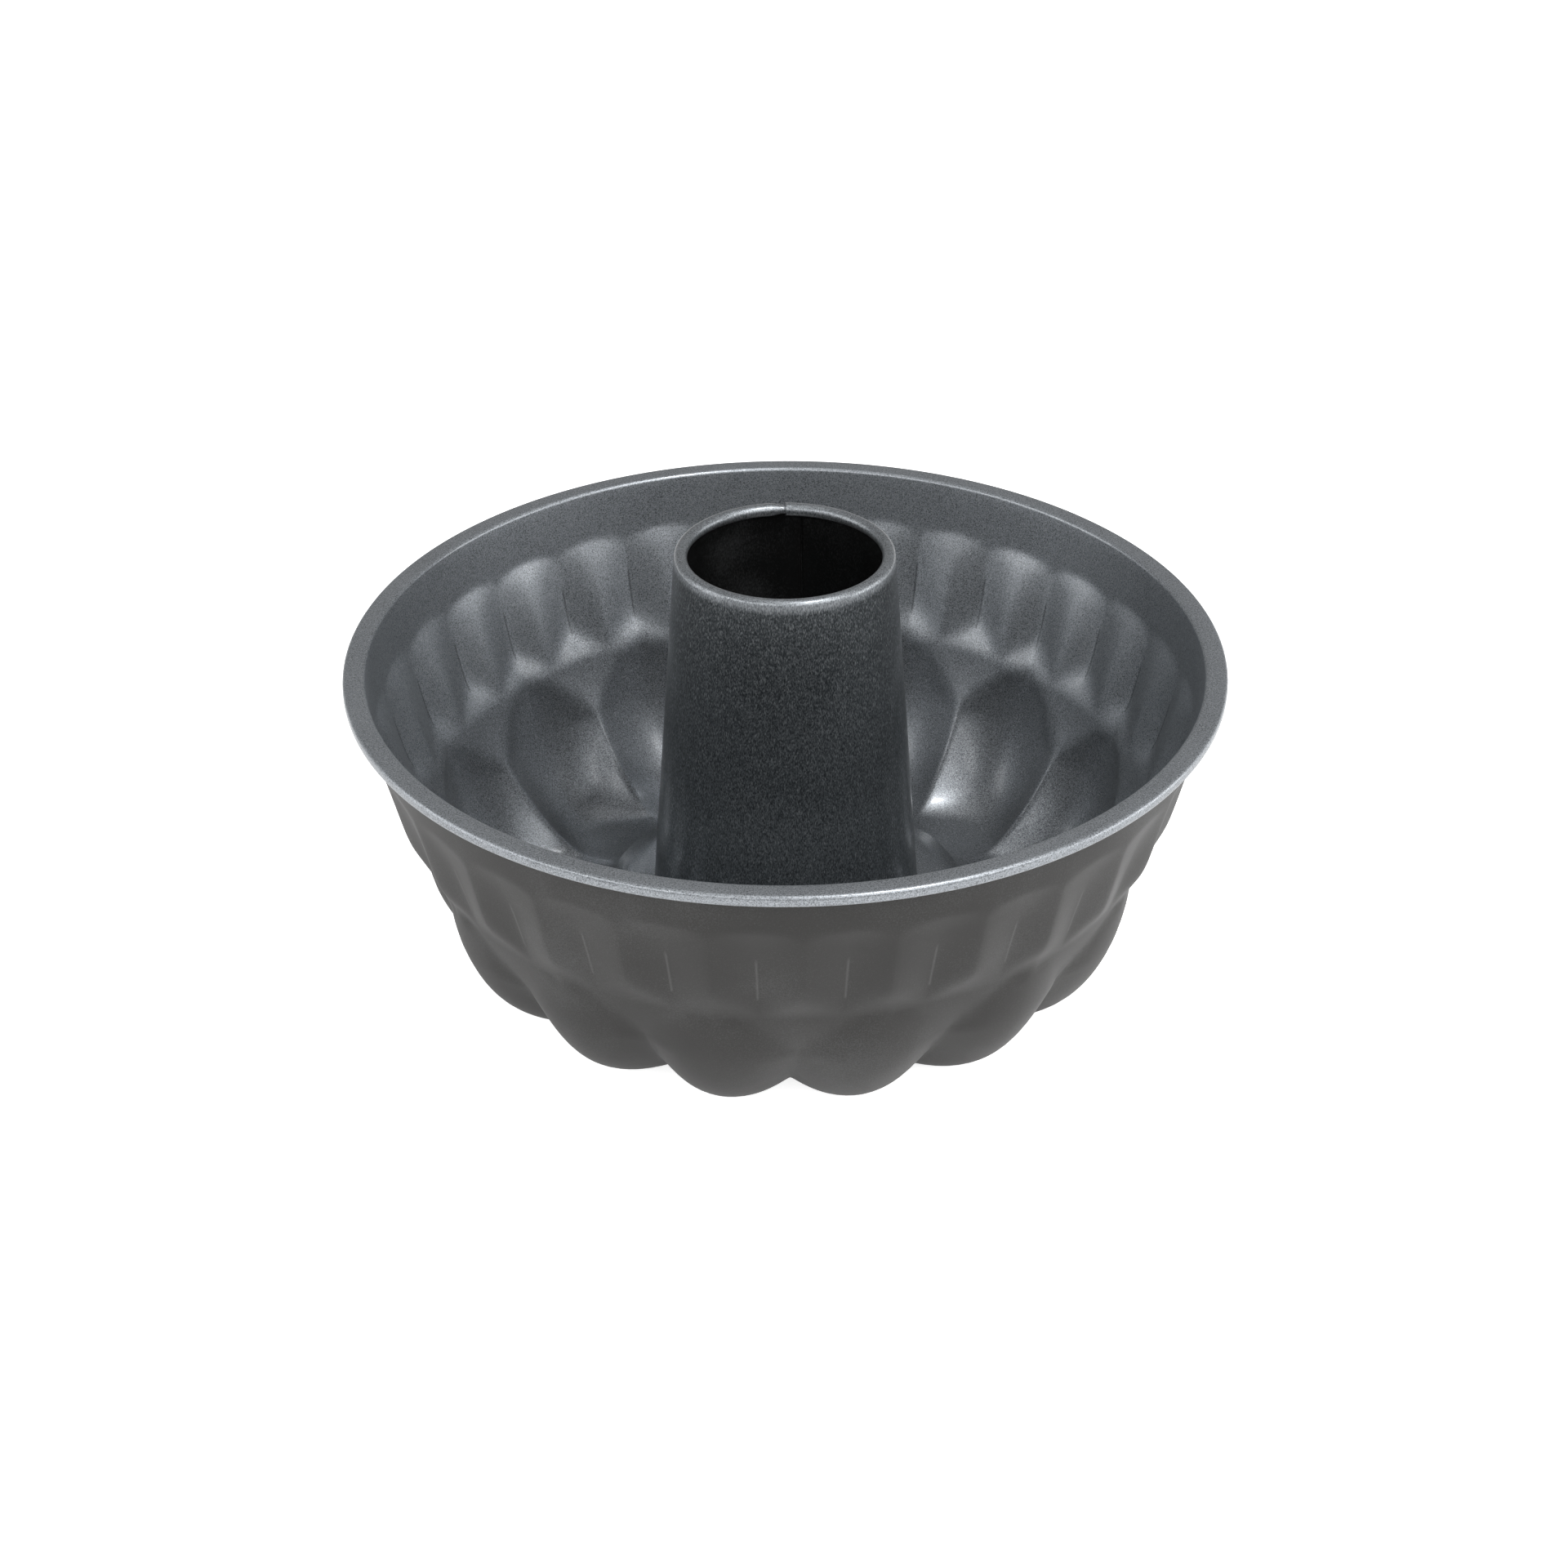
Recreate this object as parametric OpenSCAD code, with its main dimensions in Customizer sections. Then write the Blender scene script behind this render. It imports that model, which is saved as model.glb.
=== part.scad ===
// Fluted bundt pan: a bowl pressed from one disc of sheet steel, and a rolled centre tube
// seamed into the hole in its floor.
// Z is up. The origin is on the resting plane, under the axis of the tube, and a rib
// between two lobes faces -Y.

/* [Bowl] */
// Outside diameter over the rolled rim
rim_d = 220; // [210:1:240]
// Height of the rim's top above the resting plane
bowl_h = 84.2; // [80:0.2:92]
// Diameter of the circle on which the lobes touch the table
foot_d = 135.8; // [130:0.2:144]
// Thickness of the sheet
sheet_t = 0.6; // [0.4:0.1:0.8]

/* [Rim] */
// Width of the flattened rim roll
roll_w = 5.5; // [4.6:0.1:7]
// Height of the flattened rim roll
roll_h = 3; // [2.6:0.1:4]
// Height of the plain collar, from the rim's top to the flutes
collar_h = 13.5; // [12:0.5:16]

/* [Flutes and lobes] */
// Number of lobes; the collar carries two flutes for each of them
lobe_count = 15; // [12:1:18]
// How far the flutes' valleys lie inside their crests, at the top
flute_depth = 1.8; // [1:0.1:2.4]
// Height of the flute band, from the collar to the lobes
flute_band_h = 32.5; // [30:0.5:36]
// Half angle of the arc that rounds each lobe
lobe_arc = 52; // [45:1:65]
// Angle by which the lobes turn round the axis on their way down
swirl = 1.9; // [0:0.2:6]

/* [Tube] */
// Height of the tube's mouth above the resting plane
tube_h = 112.1; // [100:0.1:125]
// Outside diameter of the tube at its mouth
mouth_d = 54.6; // [50:0.2:60]
// Outside diameter of the tube at the floor of the bowl
tube_foot_d = 70; // [66:0.5:74]
// Thickness of the bead curled into the mouth
bead_d = 3.3; // [2.6:0.1:4]
// Width of the lap seam down the inside of the tube
lap_w = 4.7; // [3:0.1:7]

/* [Hidden] */
$fn = 120;

// Sheet laps buried in each other by this much where a turned part meets the pressed wall
bury = 0.1;
// Clearance between the bowl and the tube where they are not pressed together
seam_gap = 0.2;

// Collar and flute band: outside radii of the crests, from the rim down; the ledges that
// cut into the top of the flutes, and the slopes that end their crests
collar_top_r = rim_d / 2 - roll_w + 0.4;
collar_low_r = collar_top_r - 1.2;
crest_low_r = collar_low_r - 5.5;
band_low_r = crest_low_r - 5.5;
ledge_h = 8;
crest_end_h = 7;
collar_cut_h = 9;

// Heights of the stations above the resting plane
collar_z = bowl_h - collar_h;
ledge_z = collar_z - ledge_h;
band_z = collar_z - flute_band_h;
crest_end_z = band_z + crest_end_h;

// Lobes: a quarter of a rounded curve that leaves the band upright and would end a little
// under the table, where each foot is cut flat
lobe_power = 1.95;
foot_r = foot_d / 2;
foot_flat = 0.4;
foot_flat_l = 5;
// Ribs: a curve that leaves the band sloping in, and ends level; the lobes start on part
// of the pitch and soon open to meet at the ribs
rib_lean = 0.32;
rib_top_pull = 20;
rib_foot_pull = 7;
rib_r = foot_r - 4.4;
rib_z = 1;
rib_flat_l = 3;
rib_start = 0.53;
rib_open = 0.3;
lobe_rows = 8;
heel_rows = 3;

// Floor round the tube, raised above the lobes
floor_z = 10.2;
floor_r = tube_foot_d / 2 + 12;
seat_r = floor_r - 1;
wall_end_r = floor_r - 2.5;

// Hemmed seam: the hole's edge is turned down and the tube's foot is folded up round it
hole_r = tube_foot_d / 2 + seam_gap;
collar_drop = 3.6;
hem_r = hole_r + 2 * sheet_t + bury;

// Columns of the pressed wall
lobe_steps = 8;
columns = lobe_count * lobe_steps;
pitch = 360 / lobe_count;

// 0 on a flute's crest and 1 in its valley
function zigzag(phi) = let (turn = phi / (pitch / 2) + 0.5) 2 * abs(turn - floor(turn) - 0.5);

// 1 along the middle of a lobe and 0 outside the given share of its pitch
function bulge(phi, share) =
    let (turn = phi / pitch, off = 2 * abs(turn - floor(turn) - 0.5), u = min(1, off / share))
    (cos(lobe_arc * u) - cos(lobe_arc)) / (1 - cos(lobe_arc));

// Point on the middle of a lobe, from the band down and in to its foot
function lobe_point(t) = let (foot = [foot_r + foot_flat_l / 2, -foot_flat]) [
    foot[0] + (band_low_r - foot[0]) * pow(max(0, cos(90 * t)), 2 / lobe_power),
    band_z - (band_z - foot[1]) * pow(sin(90 * t), 2 / lobe_power)];

// Point on a rib, from the band down and in to its foot
function rib_point(t) =
    let (top = [band_low_r, band_z], foot = [rib_r + rib_flat_l / 2, rib_z])
    pow(1 - t, 3) * top + pow(t, 3) * foot
    + 3 * t * pow(1 - t, 2) * (top - rib_top_pull * [rib_lean, 1])
    + 3 * t * t * (1 - t) * (foot + [rib_foot_pull, 0]);

// Point on the heel that climbs from a low point in to the floor round the tube
function heel(t, low) = [
    low[0] - (low[0] - floor_r) * sin(90 * t),
    low[1] + (floor_z + bury - low[1]) * (1 - cos(90 * t))];

// A station is the point on its crests, the point in its valleys, the share of the pitch
// that a lobe takes (0 on a ring of flutes), and the share of the swirl it has reached.
function flute_station(z, crest_r, depth) = [[crest_r, z], [crest_r - depth, z], 0, 0];
function lobe_station(t) =
    let (rib = rib_point(t),
         open = min(1, (band_z - rib[1]) / (rib_open * (band_z - rib_z))))
    [lobe_point(t), rib, rib_start + (1 - rib_start) * open, t];
function heel_station(t) = [
    heel(t, [foot_r - foot_flat_l / 2, -foot_flat]), heel(t, [rib_r - rib_flat_l / 2, rib_z]), 1, 1];

ledge_crest_r = collar_low_r
    - (collar_low_r - crest_low_r) * ledge_h / (flute_band_h - crest_end_h);
valley_slope = (ledge_crest_r - flute_depth - band_low_r) / (flute_band_h - ledge_h);
crest_end_depth = crest_low_r - band_low_r - valley_slope * crest_end_h;

stations = concat(
    [flute_station(bowl_h - collar_cut_h, collar_low_r
        + (collar_top_r - collar_low_r) * (collar_h - collar_cut_h) / collar_h, 0)],
    [flute_station(collar_z, collar_low_r, 0)],
    [flute_station(ledge_z, ledge_crest_r, flute_depth)],
    [flute_station(crest_end_z, crest_low_r, crest_end_depth)],
    [for (i = [0 : lobe_rows]) lobe_station(i / lobe_rows)],
    [for (i = [0 : heel_rows]) heel_station(i / heel_rows)],
    [[[wall_end_r, floor_z + bury], [wall_end_r, floor_z + bury], 1, 1]]);

rows = len(stations);

// Point of the wall's outer face at a station and an angle; the lobes' feet are flat
function wall_point(i, phi) =
    let (s = stations[i],
         w = s[2] == 0 ? 1 - zigzag(phi) : bulge(phi, s[2]),
         p = s[1] + (s[0] - s[1]) * w,
         turned = phi - swirl * s[3])
    [p[0] * sin(turned), -p[0] * cos(turned), max(0, p[1])];

grid = [for (i = [0 : rows - 1]) [for (j = [0 : columns - 1]) wall_point(i, 360 * j / columns)]];

// Unit normal of the wall at a grid point, towards the inside of the bowl
function wall_normal(i, j) =
    let (down = grid[min(rows - 1, i + 1)][j] - grid[max(0, i - 1)][j],
         round = grid[i][(j + 1) % columns] - grid[i][(j + columns - 1) % columns],
         n = cross(down, round))
    -n / norm(n);

function at(i, j) = i * columns + j % columns;

// Two triangles between four grid points, seen from the side that the corners turn left on
function cell(a, b, c, d) = [[a, b, c], [a, c, d]];

module pressed_wall() {
    outer = [for (i = [0 : rows - 1]) for (j = [0 : columns - 1]) grid[i][j]];
    inner = [for (i = [0 : rows - 1]) for (j = [0 : columns - 1])
        grid[i][j] + sheet_t * wall_normal(i, j)];
    half = rows * columns;
    last = rows - 1;
    outside = [for (i = [0 : last - 1]) for (j = [0 : columns - 1])
        each cell(at(i, j), at(i, j + 1), at(i + 1, j + 1), at(i + 1, j))];
    inside = [for (i = [0 : last - 1]) for (j = [0 : columns - 1])
        each cell(half + at(i, j), half + at(i + 1, j), half + at(i + 1, j + 1), half + at(i, j + 1))];
    ends = [for (j = [0 : columns - 1]) each concat(
        cell(at(0, j), half + at(0, j), half + at(0, j + 1), at(0, j + 1)),
        cell(at(last, j), at(last, j + 1), half + at(last, j + 1), half + at(last, j)))];
    polyhedron(concat(outer, inner), concat(outside, inside, ends));
}

// Slot with round ends, lying along X, from one end's outer edge
module slot(length, height) {
    translate([height / 2, 0]) circle(d = height);
    translate([length - height / 2, 0]) circle(d = height);
    translate([height / 2, -height / 2]) square([length - height, height]);
}

// Collar and rim: the sheet turns out at the top and is rolled back down under itself
module rolled_rim() {
    lip_gap = 0.8;
    thick = sheet_t + 2 * bury;
    lean = (collar_top_r - collar_low_r) / collar_h;
    low_z = bowl_h - collar_cut_h - 1;
    high_z = bowl_h - roll_h / 2;
    low_r = collar_top_r - lean * (bowl_h - low_z) + bury;
    high_r = collar_top_r - lean * (bowl_h - high_z) + bury;
    rotate_extrude() {
        difference() {
            translate([rim_d / 2 - roll_w, bowl_h - roll_h / 2]) slot(roll_w, roll_h);
            translate([rim_d / 2 - roll_w + sheet_t, bowl_h - roll_h / 2])
                slot(roll_w - 2 * sheet_t, roll_h - 2 * sheet_t);
            translate([high_r + sheet_t / 2, bowl_h - roll_h - bury])
                square([lip_gap, roll_h / 2]);
        }
        polygon([[low_r, low_z], [high_r, high_z], [high_r - thick, high_z], [low_r - thick, low_z]]);
    }
}

// Floor round the tube, with the edge of its hole turned down as a short collar
module floor_ring() {
    rotate_extrude() {
        translate([hole_r, floor_z]) square([seat_r - hole_r, sheet_t + 2 * bury]);
        translate([hole_r, floor_z - collar_drop]) square([sheet_t, collar_drop + sheet_t]);
    }
}

module bowl() {
    color([0.24, 0.26, 0.29]) union() {
        rolled_rim();
        pressed_wall();
        floor_ring();
    }
}

// Outside radius of the tube at a height, from the middle of the bead down
bead_z = tube_h - bead_d / 2;
tube_lean = (tube_foot_d - mouth_d) / 2 / (bead_z - floor_z);
function tube_r(z) = mouth_d / 2 + tube_lean * (bead_z - z);

module centre_tube() {
    bead_r = (mouth_d - bead_d) / 2;
    foot_out_r = tube_foot_d / 2;
    foot_in_r = foot_out_r - sheet_t;
    fold_z = floor_z - collar_drop - sheet_t;
    curl_end = 0.45;
    lap_angle = lap_w / (mouth_d / 2) * 180 / PI;
    lap_low_z = floor_z + sheet_t;
    lap_high_z = bead_z - bead_d / 2;
    color([0.2, 0.22, 0.24]) union() {
        rotate_extrude() {
            // Tapered wall, and the foot that runs straight down inside the bowl's collar
            polygon([[foot_out_r, fold_z], [foot_out_r, floor_z], [tube_r(bead_z), bead_z],
                [tube_r(bead_z) - sheet_t, bead_z], [foot_in_r, floor_z], [foot_in_r, fold_z]]);
            // Mouth, curled in and down to a hollow bead that stops short of the wall
            difference() {
                translate([bead_r, bead_z]) circle(d = bead_d);
                translate([bead_r, bead_z]) circle(d = bead_d - 2 * sheet_t);
                translate([bead_r + curl_end, bead_z - bead_d]) square(bead_d);
            }
            // Foot's edge, folded out under the collar and up round it
            translate([foot_in_r, fold_z]) square([hem_r - foot_in_r, sheet_t]);
            translate([hem_r - sheet_t, fold_z]) square([sheet_t, collar_drop + sheet_t - seam_gap]);
        }
        // Lap seam: the sheet's free edge lies inside the tube, at the back
        rotate([0, 0, 90 - lap_angle])
            rotate_extrude(angle = lap_angle)
                polygon([[tube_r(lap_low_z) - 2 * sheet_t, lap_low_z],
                    [tube_r(lap_low_z) - sheet_t / 2, lap_low_z],
                    [tube_r(lap_high_z) - sheet_t / 2, lap_high_z],
                    [tube_r(lap_high_z) - 2 * sheet_t, lap_high_z]]);
    }
}

bowl();
centre_tube();
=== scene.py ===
# Fluted ring cake pan on a pale studio floor: a bowl pressed from sheet steel, with a rolled
# rim, and a rolled centre tube seamed into the bowl's floor.
import math

import bpy
from mathutils import Matrix, Vector


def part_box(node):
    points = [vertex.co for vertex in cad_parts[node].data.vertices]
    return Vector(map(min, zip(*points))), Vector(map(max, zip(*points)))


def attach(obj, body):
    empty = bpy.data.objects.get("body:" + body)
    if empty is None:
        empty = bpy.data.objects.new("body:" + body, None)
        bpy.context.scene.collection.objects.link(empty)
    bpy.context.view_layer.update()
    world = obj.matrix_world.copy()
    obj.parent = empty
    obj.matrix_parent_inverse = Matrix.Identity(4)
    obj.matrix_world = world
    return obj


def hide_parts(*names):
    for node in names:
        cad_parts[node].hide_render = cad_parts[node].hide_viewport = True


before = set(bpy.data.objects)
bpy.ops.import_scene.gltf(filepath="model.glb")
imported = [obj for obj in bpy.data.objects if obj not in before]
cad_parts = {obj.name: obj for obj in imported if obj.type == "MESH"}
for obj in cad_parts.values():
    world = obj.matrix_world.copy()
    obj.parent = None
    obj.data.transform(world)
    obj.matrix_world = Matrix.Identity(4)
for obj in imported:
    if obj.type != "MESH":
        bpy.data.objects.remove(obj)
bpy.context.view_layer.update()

MM = 0.001
bpy.context.scene.view_settings.view_transform = "Standard"

# ---- Camera ---------------------------------------------------------------------------------
# A short telephoto lens looks down over the front of the rim, a little off the rib that
# faces the front, so the inside of the bowl and the lobes under it both show.
RIM_TOP_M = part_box("bowl")[1][2]
CAMERA_AWAY_M = 0.6063
CAMERA_OVER_RIM_M = 0.3401
CAMERA_TURN = math.radians(2.1)
CAMERA_PITCH = math.radians(32.07)
CAMERA_ROLL = math.radians(-0.2)
CAMERA_LENS_MM = 63.67
CAMERA_SHIFT = -0.001

camera_data = bpy.data.cameras.new("camera")
camera_data.lens = CAMERA_LENS_MM
camera_data.sensor_width = 36.0
camera_data.shift_x = CAMERA_SHIFT
camera_data.clip_start = 0.01
camera = bpy.data.objects.new("camera", camera_data)
camera.matrix_world = (
    Matrix.Rotation(-CAMERA_TURN, 4, "Z")
    @ Matrix.Translation((0.0, -CAMERA_AWAY_M, RIM_TOP_M + CAMERA_OVER_RIM_M))
    @ Matrix.Rotation(math.pi / 2 - CAMERA_PITCH, 4, "X")
    @ Matrix.Rotation(CAMERA_ROLL, 4, "Z"))
bpy.context.scene.collection.objects.link(camera)
bpy.context.scene.camera = camera

# ---- Bowl -----------------------------------------------------------------------------------
# One disc of sheet steel pressed to shape: a rim rolled outwards and flattened, a plain collar,
# a band of zigzag flutes, round lobes with sharp ribs between them, and a raised floor whose
# hole has its edge turned down for the tube's foot to grip. A dark coating covers both faces.
RIM_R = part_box("bowl")[1][0] / MM
RIM_Z = RIM_TOP_M / MM
SHEET = 0.6
LOBES = 15
FLUTES = 2 * LOBES
COLUMNS_PER_FACET = 7
COLUMNS = 2 * FLUTES * COLUMNS_PER_FACET
COLUMN_GATHER = 0.8
BOWL_MERGE = 0.03

ROLL_H = 3.0
ROLL_BEND = 1.1
ROLL_TAIL = 0.9
COLLAR_TOP_R = 105.0
COLLAR_EDGE_R = 103.7
COLLAR_H = 13.5
COLLAR_EDGE_Z = RIM_Z - COLLAR_H
COLLAR_LEAN = (COLLAR_TOP_R - COLLAR_EDGE_R) / (RIM_Z - ROLL_BEND - COLLAR_EDGE_Z)
COLLAR_IN_BAND = 4.0
BAND_TOP_Z = COLLAR_EDGE_Z + COLLAR_IN_BAND
BAND_H = 32.5
BAND_LOW_R = 93.3
BAND_LOW_Z = COLLAR_EDGE_Z - BAND_H
CREST_LEAN = 0.217
LEDGE_H = 8.0
FLUTE_DEPTH = 1.8
FLUTE_DEPTH_LOW = 3.1
CREST_END_H = 7.5
CREST_END_RISE = 2.8
CREST_END_POWER = 2.2

LOBE_POWER = 1.95
LOBE_FOOT_R = 67.9
LOBE_NOMINAL_Z = -0.4
LOBE_START = 0.2
LOBE_OPEN = 0.38
LOBE_ARCH_POWER = 0.65
RIB_FOOT_R = 63.5
RIB_FOOT_Z = 1.0
RIB_LEAN = 0.32
RIB_TOP_PULL = 20.0
RIB_FOOT_PULL = 7.0
SWIRL = 1.9 / 360.0
CREST_FOLD = 0.05
VALLEY_FOLD = 0.10
LEDGE_EASE = 1.2
COLLAR_EASE = 0.15
VALLEY_LEAN = 0.28
WAIST_EASE = 4.0
LOBE_ARC = math.radians(52.0)
LOBE_EDGE_TOP = 0.15
LOBE_EDGE_LOW = 0.03
RIB_EASE = 0.02
FOOT_EASE = 0.15

FLOOR_Z = 10.3
FLOOR_R = 47.0
HOLE_R = 35.2
HOLE_COLLAR_LOW_Z = 6.7
HOLE_BEND = 0.3

# Painted shade and highlights along the flutes' folds: dark lines in the creases inside, light lines
# on the valleys outside.
FOLD_WIDTH = 0.022
FOLD_START = 10.0
FOLD_START_FADE = 2.0
FOLD_STOP = 7.4
FOLD_PAINTED_SHADE = (0.002, 0.002, 0.003)
FOLD_PAINTED_HIGHLIGHT = (0.5, 0.5, 0.5)
FOLD_HIGHLIGHT_SHARE = 0.12

CLOUD_MM = 24.0
CLOUD_TINT = 0.4
FLAKES_FROM = 0.86
GRAIN_DARK = (0.004, 0.005, 0.006)
GRAIN_DARK_LIMIT = 0.6
GRAIN_LIGHT = (0.65, 0.68, 0.70)
GRAIN_LIGHT_LIMIT = 0.7
# A lighter steel grey painted onto the tube's bead as a highlight.
BEAD_HIGHLIGHT_GREY = (0.30, 0.32, 0.34)
BEAD_HIGHLIGHT_SHARE = 0.55
BEAD_HIGHLIGHT_EASE = 1.5


class Wire:
    """A socket of a node tree. Arithmetic on it adds the Math nodes that work it out."""

    def __init__(self, tree, socket):
        self.tree = tree
        self.socket = socket

    @staticmethod
    def node(tree, kind, settings=None, sockets=None, out=0):
        """Adds a node: its settings first, then a value or a wire for each socket."""
        made = tree.nodes.new(kind)
        for name, value in (settings or {}).items():
            setattr(made, name, value)
        for name, value in (sockets or {}).items():
            if isinstance(value, Wire):
                tree.links.new(value.socket, made.inputs[name])
            else:
                made.inputs[name].default_value = value
        return Wire(tree, made.outputs[out])

    def other(self, out):
        """Another output of the same node."""
        return Wire(self.tree, self.socket.node.outputs[out])

    def math(self, operation, *values):
        """A Math node on this wire and up to two more values."""
        sockets = dict(enumerate((self, *values)))
        return Wire.node(self.tree, "ShaderNodeMath", {"operation": operation}, sockets)

    def _flipped(self, operation, value):
        return Wire.node(self.tree, "ShaderNodeMath", {"operation": operation}, {0: value, 1: self})

    def __add__(self, value):
        return self.math("ADD", value)

    def __radd__(self, value):
        return self.math("ADD", value)

    def __sub__(self, value):
        return self.math("SUBTRACT", value)

    def __rsub__(self, value):
        return self._flipped("SUBTRACT", value)

    def __mul__(self, value):
        return self.math("MULTIPLY", value)

    def __rmul__(self, value):
        return self.math("MULTIPLY", value)

    def __truediv__(self, value):
        return self.math("DIVIDE", value)

    def __rtruediv__(self, value):
        return self._flipped("DIVIDE", value)

    def __pow__(self, value):
        return self.math("POWER", value)

    def clamped(self, low=0.0, high=1.0):
        return self.math("MAXIMUM", low).math("MINIMUM", high)


def between(start, end, share):
    """The value a share of the way from start to end."""
    return start + (end - start) * share


def soft_max(a, b, ease):
    """The larger of two values, with the crease between them eased over about `ease`."""
    gap = a - b
    return (a + b + (gap * gap + ease * ease).math("SQRT")) * 0.5


def soft_min(a, b, ease):
    """The smaller of two values, with the crease between them eased over about `ease`."""
    gap = a - b
    return (a + b - (gap * gap + ease * ease).math("SQRT")) * 0.5


def blended_min(a, b):
    """The smaller of two values that are not negative, rounded where they are alike."""
    sharp = 1.6
    least = 0.001
    total = a.math("MAXIMUM", least) ** -sharp + b.math("MAXIMUM", least) ** -sharp
    return total ** (-1.0 / sharp)


def folded(off, near_ease, far_ease):
    """0 at off = 0 and 1 at off = 0.5, straight between, with each fold eased."""
    near = (off * off + near_ease * near_ease).math("SQRT") - near_ease
    rest = 0.5 - off
    far = (rest * rest + far_ease * far_ease).math("SQRT") - far_ease
    return near / (near + far)


def off_centre(turn, count):
    """Distance from the middle of the nearest of `count` equal shares of a turn, 0 to 0.5."""
    return ((turn * float(count)).math("FRACT") - 0.5).math("ABSOLUTE")


def line(start, end):
    """A straight stretch of a turned sheet, from one (radius, height) to another."""
    def rule(turn, share):
        return between(start[0], end[0], share), between(start[1], end[1], share), turn
    return rule


def bend(centre, radius, start, end):
    """A round bend of a turned sheet about a (radius, height), between two angles in degrees."""
    def rule(turn, share):
        angle = between(math.radians(start), math.radians(end), share)
        return (centre[0] + angle.math("COSINE") * radius,
                centre[1] + angle.math("SINE") * radius, turn)
    return rule


def stretch_of_sheet(tree, columns, rows, turned, rule):
    """A grid wrapped round Z. For a turn and a share of the stretch, the rule gives the point's
    radius and height in mm, and the turn to lay it at."""
    grid = Wire.node(tree, "GeometryNodeMeshGrid", None, {
        "Size X": 1.0, "Size Y": 1.0, "Vertices X": columns + 1, "Vertices Y": rows + 1})
    split = Wire.node(tree, "ShaderNodeSeparateXYZ", None, {
        "Vector": Wire.node(tree, "GeometryNodeInputPosition")})
    radius, height, laid = rule(turned(split + 0.5), split.other("Y") + 0.5)
    angle = laid * (2 * math.pi)
    place = Wire.node(tree, "ShaderNodeCombineXYZ", None, {
        "X": angle.math("SINE") * radius * MM,
        "Y": angle.math("COSINE") * radius * -MM,
        "Z": height * MM})
    return Wire.node(tree, "GeometryNodeSetPosition", None, {"Geometry": grid, "Position": place})


def new_shape_tree(name, sizes):
    """A Geometry Nodes tree with a geometry output and one named input for each size."""
    tree = bpy.data.node_groups.new(name, "GeometryNodeTree")
    tree.interface.new_socket("Geometry", in_out="INPUT", socket_type="NodeSocketGeometry")
    tree.interface.new_socket("Geometry", in_out="OUTPUT", socket_type="NodeSocketGeometry")
    for size in sizes:
        tree.interface.new_socket(size, in_out="INPUT", socket_type="NodeSocketFloat")
    group = tree.nodes.new("NodeGroupInput")
    return tree, {size: Wire(tree, group.outputs[size]) for size in sizes}


def finish_shape_tree(tree, stretches, material, merge_mm):
    """Joins the stretches into one sheet and ends the tree with its material."""
    join = tree.nodes.new("GeometryNodeJoinGeometry")
    for stretch in stretches:
        tree.links.new(stretch.socket, join.inputs[0])
    sheet = Wire.node(tree, "GeometryNodeMergeByDistance", None, {
        "Geometry": Wire(tree, join.outputs[0]), "Distance": merge_mm * MM})
    smooth = Wire.node(tree, "GeometryNodeSetShadeSmooth", None, {"Geometry": sheet})
    real = Wire.node(tree, "GeometryNodeRealizeInstances", None, {"Geometry": smooth})
    done = Wire.node(tree, "GeometryNodeSetMaterial", None, {"Geometry": real, "Material": material})
    output = tree.nodes.new("NodeGroupOutput")
    tree.links.new(done.socket, output.inputs["Geometry"])


def pressed_from(name, tree, sizes, sheet_mm):
    """The tree's sheet as a plain mesh object, thickened towards the side its faces look to."""
    blank = bpy.data.objects.new(name + "_blank", bpy.data.meshes.new(name + "_blank"))
    bpy.context.scene.collection.objects.link(blank)
    modifier = blank.modifiers.new("shape", "NODES")
    modifier.node_group = tree
    for item in tree.interface.items_tree:
        if item.in_out == "INPUT" and item.name in sizes:
            modifier[item.identifier] = float(sizes[item.name])
    wall = blank.modifiers.new("sheet", "SOLIDIFY")
    wall.thickness = sheet_mm * MM
    wall.offset = 1.0
    wall.use_even_offset = True
    wall.use_rim = True
    graph = bpy.context.evaluated_depsgraph_get()
    mesh = bpy.data.meshes.new_from_object(blank.evaluated_get(graph))
    bpy.data.objects.remove(blank)
    mesh.name = name
    piece = bpy.data.objects.new(name, mesh)
    bpy.context.scene.collection.objects.link(piece)
    return piece


def new_material(name):
    """An empty node material and its tree."""
    material = bpy.data.materials.new(name)
    material.use_nodes = True
    material.node_tree.nodes.clear()
    return material, material.node_tree


def mixed(a, b, factor):
    """The colour the factor's way from a to b. Each is a wire or three numbers."""
    first, second = ((*colour, 1.0) if isinstance(colour, tuple) else colour for colour in (a, b))
    return Wire.node(factor.tree, "ShaderNodeMix", {"data_type": "RGBA"}, {
        "Factor": factor, 6: first, 7: second}, out=2)


def noise(vector, size_mm, detail, rough=0.5):
    """Soft random values from 0 to 1, whose blotches are about size_mm across."""
    return Wire.node(vector.tree, "ShaderNodeTexNoise", {"noise_dimensions": "3D"}, {
        "Vector": vector, "Scale": 1.0 / (size_mm * MM), "Detail": detail, "Roughness": rough})


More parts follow.
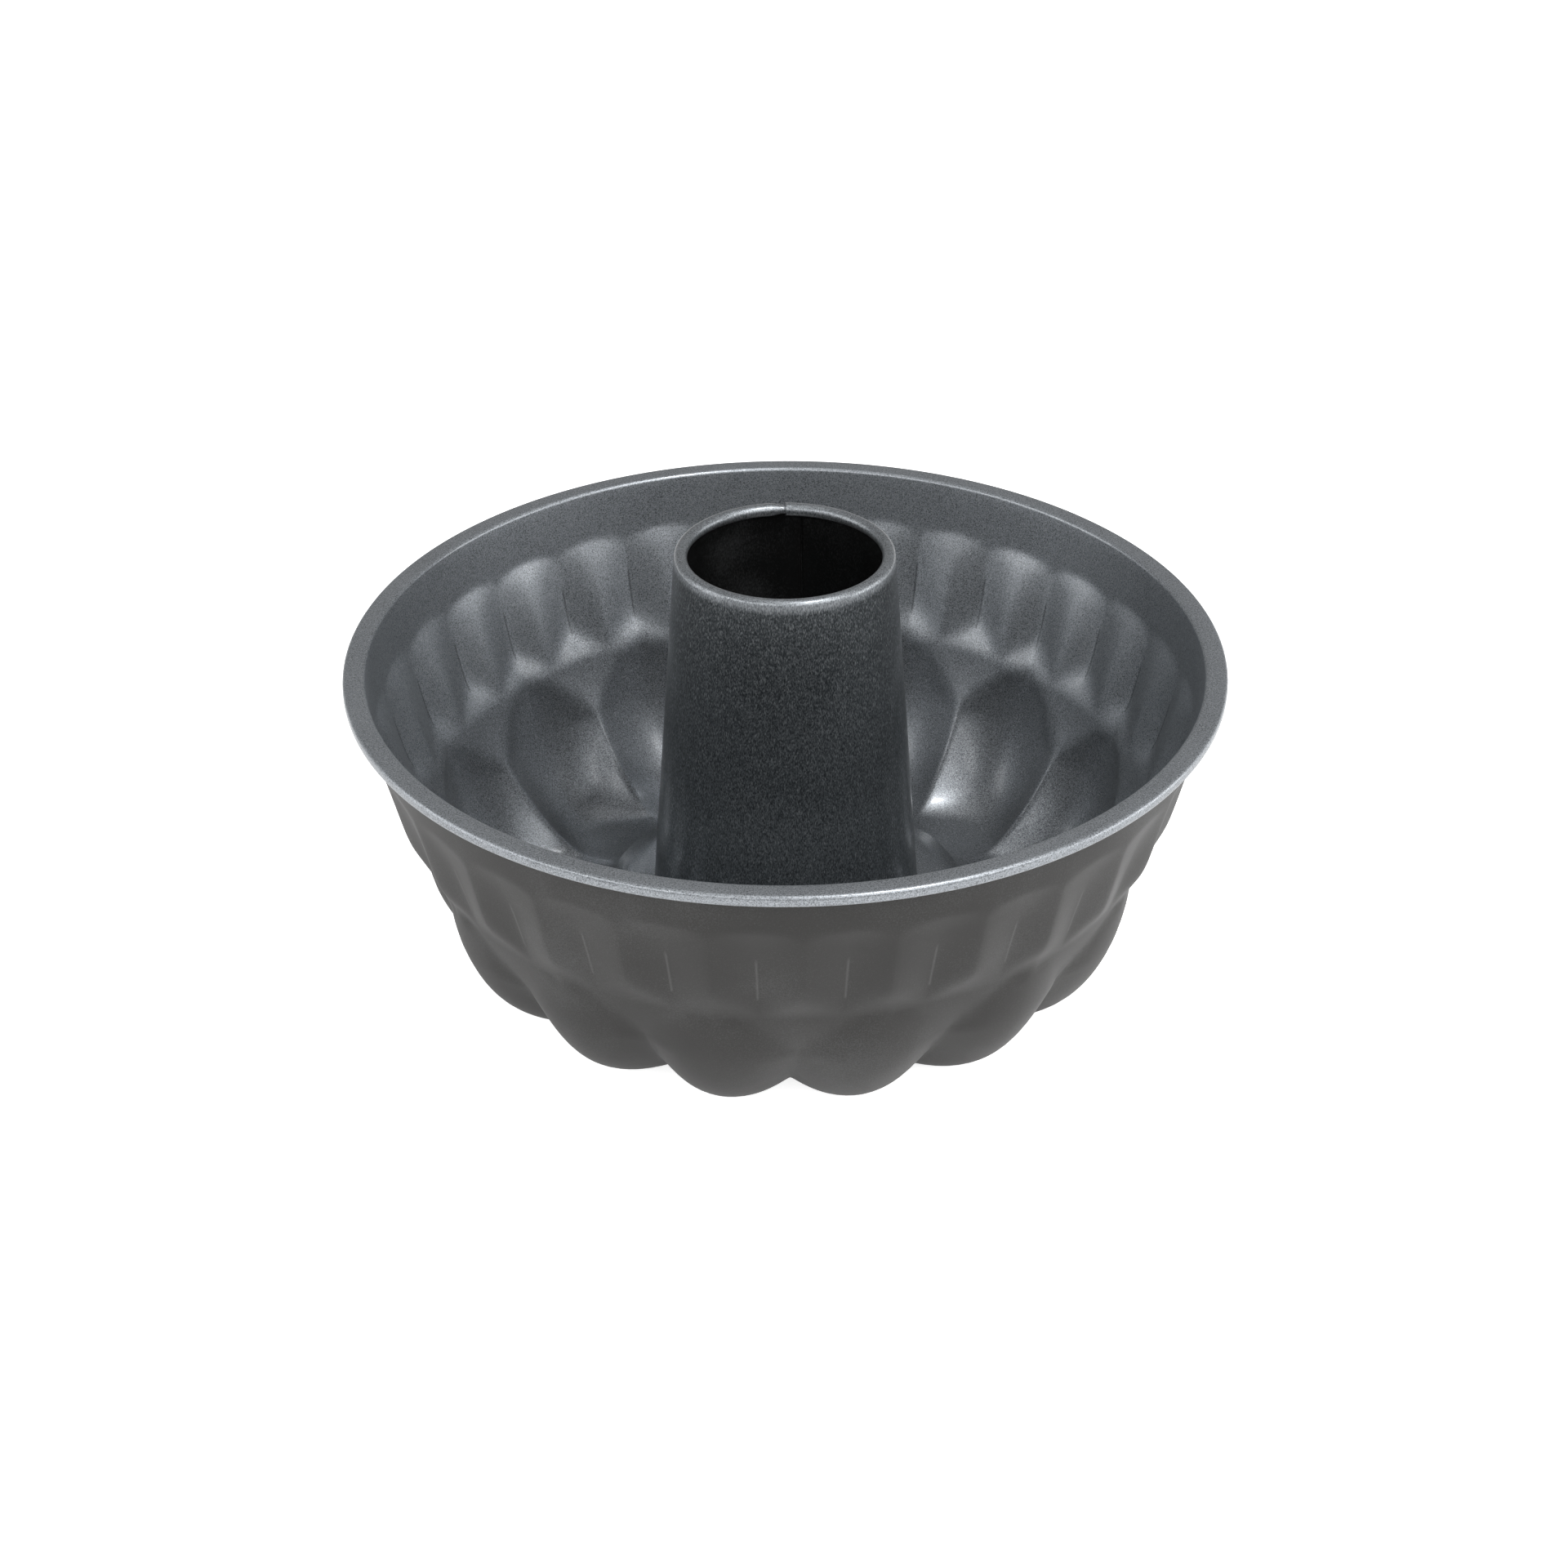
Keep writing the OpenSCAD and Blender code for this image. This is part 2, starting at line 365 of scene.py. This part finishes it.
def coated_steel(name, food_side, dull_side, grain_mm, low_painted_tone, high_painted_tone,
                 upright=1.0, folds=0.0, painted_highlight_above=None):
    """Non-stick coating over steel: a grainy face with metal flakes, and a plainer outer face.

    The piece's food_side attribute is 1 on the grainy face, whose brightness runs between two
    tones of (height, brightness). The tones are painted light and shade that make up for how the
    studio's lamps fall: the real coating is even. `upright` draws the grain out along Z, `folds`
    sets how strongly painted shade and painted highlights are drawn along the flutes' folds, and
    above the given height a lighter steel grey is mixed into the grainy face as a painted highlight."""
    material, tree = new_material(name)
    place = Wire.node(tree, "ShaderNodeTexCoord", out="Object")
    split = Wire.node(tree, "ShaderNodeSeparateXYZ", None, {"Vector": place})
    height = split.other("Z") / MM
    food = Wire.node(tree, "ShaderNodeAttribute", {"attribute_name": "food_side"}, out="Fac")
    drawn = Wire.node(tree, "ShaderNodeVectorMath", {"operation": "MULTIPLY"}, {
        0: place, 1: (1.0, 1.0, 1.0 / upright)})

    grain = noise(drawn, grain_mm, 2.0, 0.7)
    cloud = noise(place, CLOUD_MM, 2.0)
    cells = Wire.node(tree, "ShaderNodeTexVoronoi", {"feature": "F1"}, {
        "Vector": drawn, "Scale": 1.0 / (grain_mm * 0.9 * MM)}, out="Color")
    flake = Wire.node(tree, "ShaderNodeSeparateColor", None, {"Color": cells})
    glint = ((flake - FLAKES_FROM) / (1.0 - FLAKES_FROM)).clamped() * food

    raised = ((height - low_painted_tone[0]) / (high_painted_tone[0] - low_painted_tone[0])).clamped()
    painted_tone = between(1.0, between(low_painted_tone[1], high_painted_tone[1], raised), food)
    colour = Wire.node(tree, "ShaderNodeVectorMath", {"operation": "SCALE"}, {
        0: mixed(dull_side, food_side, food), "Scale": painted_tone})
    # Painted highlight: a lighter steel grey mixed into the grainy face above the given height.
    if painted_highlight_above:
        painted_highlight = ((height - painted_highlight_above) / BEAD_HIGHLIGHT_EASE).clamped() * food
        colour = mixed(colour, BEAD_HIGHLIGHT_GREY, painted_highlight * BEAD_HIGHLIGHT_SHARE)
    tint = (grain - 0.5) * between(0.5, 4.1, food) + (cloud - 0.5) * CLOUD_TINT
    colour = mixed(colour, GRAIN_DARK, (tint * -1.0).clamped(0.0, GRAIN_DARK_LIMIT))
    light = tint.clamped(0.0, GRAIN_LIGHT_LIMIT) * 0.25 + glint * 0.18
    colour = mixed(colour, GRAIN_LIGHT, light)
    # Painted shade in the folds' creases and painted highlights on their valleys.
    if folds:
        colour = with_painted_fold_light(split, height, food, colour, folds)

    rough = between(0.50, 0.41, food) + (grain - 0.5) * 0.25 * food - glint * 0.10
    relief = (grain + glint * 0.4) * between(0.1, 1.0, food)
    bump = Wire.node(tree, "ShaderNodeBump", None, {
        "Strength": 0.6, "Distance": 0.04 * MM, "Height": relief})
    shader = Wire.node(tree, "ShaderNodeBsdfPrincipled", None, {
        "Base Color": colour, "Metallic": between(0.35, 0.80, food),
        "Roughness": rough.clamped(0.15, 0.8), "Specular IOR Level": 0.3,
        "Coat Weight": food * 0.3, "Coat Roughness": 0.16, "Normal": bump})
    output = tree.nodes.new("ShaderNodeOutputMaterial")
    tree.links.new(shader.socket, output.inputs["Surface"])
    return material


def with_painted_fold_light(split, height, food, colour, strength):
    """Paints light and shade along the pressed folds: painted shade as dark lines along the crests
    inside, painted highlights as light lines in the valleys outside, both fading out under the
    ledges and above the crests' ends."""
    turn = split.math("ARCTAN2", split.other("Y") * -1.0) / (2 * math.pi)
    from_crest = 0.5 - off_centre(turn, FLUTES)
    from_valley = 0.5 - from_crest
    band = ((COLLAR_EDGE_Z - FOLD_START - height) / FOLD_START_FADE).clamped()
    band = band * (height - BAND_LOW_Z - FOLD_STOP).clamped()
    crease_shade = (1.0 - from_crest / FOLD_WIDTH).clamped() * band * food
    valley_highlight = (1.0 - from_valley / FOLD_WIDTH).clamped() * band * (1.0 - food)
    darker = mixed(colour, FOLD_PAINTED_SHADE, crease_shade * strength)
    return mixed(darker, FOLD_PAINTED_HIGHLIGHT, valley_highlight * strength * FOLD_HIGHLIGHT_SHARE)


def mark_food_side(piece, drawn_face):
    """Marks the points of the face that food touches: the drawn face of the sheet, or the one
    it was thickened towards, whose points come first."""
    mesh = piece.data
    mark = mesh.attributes.new("food_side", "FLOAT", "POINT")
    half = len(mesh.vertices) // 2
    first, second = (0.0, 1.0) if drawn_face else (1.0, 0.0)
    mark.data.foreach_set("value", [first] * half + [second] * (len(mesh.vertices) - half))


# Painted light and shade: the grainy face is drawn dimmer in the lobes below 36 mm and a little
# lighter from 46 mm up, for how the lamps fall.
bowl_coating = coated_steel(
    "bowl_coating", food_side=(0.228, 0.243, 0.260), dull_side=(0.030, 0.029, 0.028), grain_mm=0.33,
    low_painted_tone=(36.0, 0.78), high_painted_tone=(46.0, 1.04), folds=0.55)

bowl_sizes = {
    "Flute depth": FLUTE_DEPTH, "Flute depth low": FLUTE_DEPTH_LOW,
    "Lobe foot radius": LOBE_FOOT_R, "Rib foot radius": RIB_FOOT_R, "Swirl": SWIRL,
    "Floor height": FLOOR_Z, "Floor radius": FLOOR_R}
bowl_tree, bowl_in = new_shape_tree("bowl_shape", bowl_sizes)


def gathered(share):
    """Turn for a share of the grid's width, with the columns gathered towards the folds."""
    facets = 2 * FLUTES
    gather = COLUMN_GATHER / (2 * math.pi)
    cell = share * float(facets)
    part = cell.math("FRACT")
    return (cell - (part * (2 * math.pi)).math("SINE") * gather) / float(facets)


def waist(height):
    """How far a lobe's middle stands out where the leaning band meets the upright lobe."""
    up = (height - BAND_LOW_Z) / WAIST_EASE
    return (up.math("EXPONENT") + 1.0).math("LOGARITHM", math.e) * (WAIST_EASE * VALLEY_LEAN)


def flute_band(turn, share):
    """Collar, ledges, flutes and the sloping ends of their crests."""
    height = between(BAND_TOP_Z, BAND_LOW_Z, share)
    below = COLLAR_EDGE_Z - height
    deeper = ((below - LEDGE_H) / (COLLAR_EDGE_Z - BAND_LOW_Z - LEDGE_H)).clamped()
    depth = between(bowl_in["Flute depth"], bowl_in["Flute depth low"], deeper)
    fold = folded(0.5 - off_centre(turn, FLUTES), CREST_FOLD, VALLEY_FOLD)
    ledge_lean = CREST_LEAN + bowl_in["Flute depth"] / LEDGE_H
    collar = COLLAR_EDGE_R - below * COLLAR_LEAN
    flute = COLLAR_EDGE_R - below * CREST_LEAN - depth * fold
    ledge = COLLAR_EDGE_R - below * ledge_lean
    wall = soft_min(collar, soft_max(flute, ledge, LEDGE_EASE), COLLAR_EASE)
    up = height - BAND_LOW_Z
    valley = BAND_LOW_R + up * VALLEY_LEAN
    crest_end = (up / CREST_END_H).math("MAXIMUM", 0.0) ** CREST_END_POWER * CREST_END_RISE
    relief = blended_min(wall - valley, crest_end)
    lean = between(up * VALLEY_LEAN, waist(height), bulge(turn, LOBE_START))
    return BAND_LOW_R + lean + relief, height, turn


def lobe_point(share, foot_r):
    """Radius and height on the middle of a lobe, from the band down and in to its foot."""
    angle = share * (math.pi / 2)
    power = 2.0 / LOBE_POWER
    inward = angle.math("COSINE").math("MAXIMUM", 0.0) ** power
    down = angle.math("SINE") ** power
    return (between(foot_r, BAND_LOW_R, inward),
            between(BAND_LOW_Z, LOBE_NOMINAL_Z, down))


def rib_point(share, foot_r):
    """Radius and height on a rib, which leaves the band sloping in and ends level."""
    rest = 1.0 - share
    top, high, low, foot = (rest * rest * rest, share * rest * rest * 3.0,
                            share * share * rest * 3.0, share * share * share)
    radius = (top * BAND_LOW_R + high * (BAND_LOW_R - RIB_LEAN * RIB_TOP_PULL)
              + low * (foot_r + RIB_FOOT_PULL) + foot * foot_r)
    height = (top * BAND_LOW_Z + high * (BAND_LOW_Z - RIB_TOP_PULL)
              + (low + foot) * RIB_FOOT_Z)
    return radius, height


def bulge(turn, share_of_pitch):
    """1 along the middle of a lobe, 0 on the ribs and on the plain facets above them."""
    from_rib = 1.0 - off_centre(turn, LOBES) * 2.0
    rounded = (from_rib * from_rib + RIB_EASE * RIB_EASE).math("SQRT") - RIB_EASE
    eased = rounded / (1.0 - RIB_EASE)
    edge = between(LOBE_EDGE_TOP, LOBE_EDGE_LOW, share_of_pitch)
    off = soft_min((1.0 - eased) / share_of_pitch, 1.0, edge)
    return ((off * LOBE_ARC).math("COSINE") - math.cos(LOBE_ARC)) / (1.0 - math.cos(LOBE_ARC))


def lobe_wall(turn, share):
    """Lobes and ribs, from the flute band down to the feet."""
    lobe_r, lobe_z = lobe_point(share, bowl_in["Lobe foot radius"])
    rib_r, rib_z = rib_point(share, bowl_in["Rib foot radius"])
    opened = ((BAND_LOW_Z - rib_z) / (LOBE_OPEN * (BAND_LOW_Z - RIB_FOOT_Z))).clamped()
    swell = bulge(turn, between(LOBE_START, 1.0, opened ** LOBE_ARCH_POWER))
    height = soft_max(between(rib_z, lobe_z, swell), 0.0, FOOT_EASE)
    return (between(rib_r, lobe_r + waist(height), swell), height,
            turn - bowl_in["Swirl"] * share)


def heel(turn, share):
    """Lobes and ribs again, from the feet up to the floor round the tube."""
    angle = share * (math.pi / 2)
    inward = angle.math("SINE")
    up = 1.0 - angle.math("COSINE")
    swell = bulge(turn, 1.0)
    low_r = between(bowl_in["Rib foot radius"], bowl_in["Lobe foot radius"], swell)
    low_z = between(RIB_FOOT_Z, LOBE_NOMINAL_Z, swell)
    height = soft_max(between(low_z, bowl_in["Floor height"], up), 0.0, FOOT_EASE)
    return between(low_r, bowl_in["Floor radius"], inward), height, turn


def swirled(rule):
    """The same stretch, laid on by the whole of the lobes' swirl."""
    def laid_on(turn, share):
        radius, height, laid = rule(turn, share)
        return radius, height, laid - bowl_in["Swirl"]
    return laid_on


roll_in = ROLL_BEND - SHEET
roll_out_r = RIM_R - ROLL_BEND
roll_high_z = RIM_Z - ROLL_BEND
roll_low_z = RIM_Z - ROLL_H + ROLL_BEND
collar_bend_r = COLLAR_TOP_R + roll_in
hole_collar_r = HOLE_R + SHEET
hole_bend_at = (hole_collar_r + HOLE_BEND, FLOOR_Z - HOLE_BEND)

bowl_path = [
    (2, line((collar_bend_r + ROLL_TAIL, roll_low_z - roll_in), (roll_out_r, roll_low_z - roll_in))),
    (4, bend((roll_out_r, roll_low_z), roll_in, -90, 0)),
    (1, line((roll_out_r + roll_in, roll_low_z), (roll_out_r + roll_in, roll_high_z))),
    (4, bend((roll_out_r, roll_high_z), roll_in, 0, 90)),
    (2, line((roll_out_r, roll_high_z + roll_in), (collar_bend_r, roll_high_z + roll_in))),
    (4, bend((collar_bend_r, roll_high_z), roll_in, 90, 180)),
    (3, line((COLLAR_TOP_R, roll_high_z),
             (COLLAR_EDGE_R + (BAND_TOP_Z - COLLAR_EDGE_Z) * COLLAR_LEAN, BAND_TOP_Z))),
    (44, flute_band),
    (32, lobe_wall),
    (14, swirled(heel)),
    (2, swirled(line((FLOOR_R, FLOOR_Z), (hole_bend_at[0], FLOOR_Z)))),
    (3, swirled(bend(hole_bend_at, HOLE_BEND, 90, 180))),
    (2, swirled(line((hole_collar_r, hole_bend_at[1]), (hole_collar_r, HOLE_COLLAR_LOW_Z))))]
stretches = [stretch_of_sheet(bowl_tree, COLUMNS, rows, gathered, rule) for rows, rule in bowl_path]
finish_shape_tree(bowl_tree, stretches, bowl_coating, BOWL_MERGE)
bowl = pressed_from("bowl_pressing", bowl_tree, bowl_sizes, SHEET)
mark_food_side(bowl, False)
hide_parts("bowl")
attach(bowl, "root")

# ---- Centre tube ----------------------------------------------------------------------------
# A tapered tube rolled from a second piece of the same sheet. Its free edges lap at the back,
# its mouth is curled inwards to a bead, and its foot is folded out and up round the edge of
# the bowl's hole.
TUBE_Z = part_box("centre_tube")[1][2] / MM
MOUTH_R = 27.3
TUBE_FOOT_R = 35.0
BEAD = 3.3
CURL_FROM = 290
FOOT_FOLD_Z = 6.6
FOOT_BEND = 0.3
HEM_R = 35.9
HEM_TOP_Z = 10.0
TUBE_COLUMNS = 300
TUBE_MERGE = 0.06
# Depth below the tube's top that gets the painted highlight.
BEAD_HIGHLIGHT_H = 3.5
LAP_INNER_EDGE = 168.9 / 360.0
LAP_OUTER_EDGE = 177.4 / 360.0
LAP_EASE = 9.0 / 360.0

bead_r = MOUTH_R - BEAD / 2
bead_z = TUBE_Z - BEAD / 2
lean_angle = math.atan2(TUBE_FOOT_R - MOUTH_R, bead_z - FLOOR_Z)
wall_top = (bead_r + BEAD / 2 * math.cos(lean_angle), bead_z + BEAD / 2 * math.sin(lean_angle))

# Painted light and shade: the tube's grainy face is drawn lighter at its foot and dimmer towards its
# mouth, for how the lamps fall.
# Painted shade: both faces of the tube are drawn far dimmer than the same coating on the bowl, and the
# dull face inside the tube is nearly black.
tube_coating_shaded = coated_steel(
    "tube_coating_shaded", food_side=(0.078, 0.088, 0.095), dull_side=(0.002, 0.002, 0.002), grain_mm=0.27,
    low_painted_tone=(45.0, 1.22), high_painted_tone=(105.0, 0.62), upright=2.6, painted_highlight_above=TUBE_Z - BEAD_HIGHLIGHT_H)
tube_sizes = {"Sheet": SHEET}
tube_tree, tube_in = new_shape_tree("tube_shape", tube_sizes)


def lapped(share):
    """Turn for a share of the grid's width, past one whole turn by the width of the lap."""
    return between(LAP_INNER_EDGE, LAP_OUTER_EDGE + 1.0, share)


def set_in(turn):
    """How far the lap's inner layer lies behind the outer one, easing out past its edge."""
    past = ((turn - LAP_OUTER_EDGE) / LAP_EASE).clamped()
    return (1.0 - past * past * (3.0 - past * 2.0)) * tube_in["Sheet"]


def lapped_line(start, end):
    """A straight stretch with its inner layer set in towards the back of the sheet."""
    length = math.hypot(end[0] - start[0], end[1] - start[1])
    back = ((end[1] - start[1]) / length, (start[0] - end[0]) / length)

    def rule(turn, share):
        radius, height, laid = line(start, end)(turn, share)
        inset = set_in(turn)
        return radius + inset * back[0], height + inset * back[1], laid
    return rule


def lapped_bend(centre, radius, start, end):
    """A bend with its inner layer set in towards the back of the sheet."""
    back = 1.0 if end > start else -1.0
    return lambda turn, share: bend(centre, radius + set_in(turn) * back, start, end)(turn, share)


tube_path = [
    (24, lapped_bend((bead_r, bead_z), BEAD / 2, CURL_FROM, math.degrees(lean_angle))),
    (40, lapped_line(wall_top, (TUBE_FOOT_R, FLOOR_Z))),
    (2, lapped_line((TUBE_FOOT_R, FLOOR_Z), (TUBE_FOOT_R, FOOT_FOLD_Z + FOOT_BEND))),
    (3, lapped_bend((TUBE_FOOT_R + FOOT_BEND, FOOT_FOLD_Z + FOOT_BEND), FOOT_BEND, 180, 270)),
    (1, lapped_line((TUBE_FOOT_R + FOOT_BEND, FOOT_FOLD_Z), (HEM_R - FOOT_BEND, FOOT_FOLD_Z))),
    (3, lapped_bend((HEM_R - FOOT_BEND, FOOT_FOLD_Z + FOOT_BEND), FOOT_BEND, 270, 360)),
    (2, lapped_line((HEM_R, FOOT_FOLD_Z + FOOT_BEND), (HEM_R, HEM_TOP_Z)))]
stretches = [stretch_of_sheet(tube_tree, TUBE_COLUMNS, rows, lapped, rule) for rows, rule in tube_path]
finish_shape_tree(tube_tree, stretches, tube_coating_shaded, TUBE_MERGE)
tube = pressed_from("tube_rolling", tube_tree, tube_sizes, SHEET)
mark_food_side(tube, True)
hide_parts("centre_tube")
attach(tube, "root")

# ---- Studio ---------------------------------------------------------------------------------
# A wide white floor and an even pale sky, both plain white to the camera. Soft lamps stand at
# each side and at both front corners, a broad one hangs overhead, and a small high one puts
# the bright spots on the beads and in the lobes.
FLOOR_HALF_M = 12.0
FLOOR_GLOW = 0.82
SKY = 0.36
LAMP_AIM = Vector((0.0, 0.0, 0.05))

floor_mesh = bpy.data.meshes.new("studio_floor")
corners = [(-FLOOR_HALF_M, -FLOOR_HALF_M, 0.0), (FLOOR_HALF_M, -FLOOR_HALF_M, 0.0),
           (FLOOR_HALF_M, FLOOR_HALF_M, 0.0), (-FLOOR_HALF_M, FLOOR_HALF_M, 0.0)]
floor_mesh.from_pydata(corners, [], [(0, 1, 2, 3)])
studio_floor = bpy.data.objects.new("studio_floor", floor_mesh)
bpy.context.scene.collection.objects.link(studio_floor)
floor_material, floor_tree = new_material("studio_floor")
rays = Wire.node(floor_tree, "ShaderNodeLightPath")
seen = (rays + rays.other("Is Glossy Ray") * 0.5 + rays.other("Is Transmission Ray")).clamped()
paper = Wire.node(floor_tree, "ShaderNodeBsdfDiffuse", None, {"Color": (0.8, 0.8, 0.8, 1.0)})
glow = Wire.node(floor_tree, "ShaderNodeEmission", None, {
    "Color": (1.0, 1.0, 1.0, 1.0), "Strength": FLOOR_GLOW})
lit = Wire.node(floor_tree, "ShaderNodeAddShader", None, {0: paper, 1: glow})
white = Wire.node(floor_tree, "ShaderNodeMixShader", None, {0: seen, 1: paper, 2: lit})
floor_output = floor_tree.nodes.new("ShaderNodeOutputMaterial")
floor_tree.links.new(white.socket, floor_output.inputs["Surface"])
floor_mesh.materials.append(floor_material)

world = bpy.data.worlds.new("studio_sky")
world.use_nodes = True
world.node_tree.nodes.clear()
bpy.context.scene.world = world
sky = world.node_tree
camera_ray = Wire.node(sky, "ShaderNodeLightPath")
dim, plain = (Wire.node(sky, "ShaderNodeBackground", None, {
    "Color": (1.0, 1.0, 1.0, 1.0), "Strength": strength}) for strength in (SKY, 1.0))
background = Wire.node(sky, "ShaderNodeMixShader", None, {0: camera_ray, 1: dim, 2: plain})
sky_output = sky.nodes.new("ShaderNodeOutputWorld")
sky.links.new(background.socket, sky_output.inputs["Surface"])


def soft_lamp(name, place, width, height, watts):
    """A rectangular soft lamp at a place, turned to face the pan."""
    data = bpy.data.lights.new(name, "AREA")
    data.shape = "RECTANGLE"
    data.size = width
    data.size_y = height
    data.energy = watts
    lamp = bpy.data.objects.new(name, data)
    lamp.location = place
    lamp.rotation_euler = (LAMP_AIM - lamp.location).to_track_quat("-Z", "Y").to_euler()
    bpy.context.scene.collection.objects.link(lamp)


soft_lamp("lamp_left", (-1.25, -0.10, 0.45), 0.9, 0.9, 6.5)
soft_lamp("lamp_right", (1.25, -0.10, 0.30), 0.9, 0.6, 6.5)
soft_lamp("lamp_high", (0.38, -0.42, 1.20), 0.14, 0.11, 10.0)
soft_lamp("lamp_top", (0.0, 0.10, 1.40), 0.9, 0.9, 1.5)
soft_lamp("lamp_front_left", (-0.75, -1.00, 0.95), 1.4, 0.5, 8.0)
soft_lamp("lamp_front_right", (0.75, -1.00, 0.95), 1.4, 0.5, 10.5)
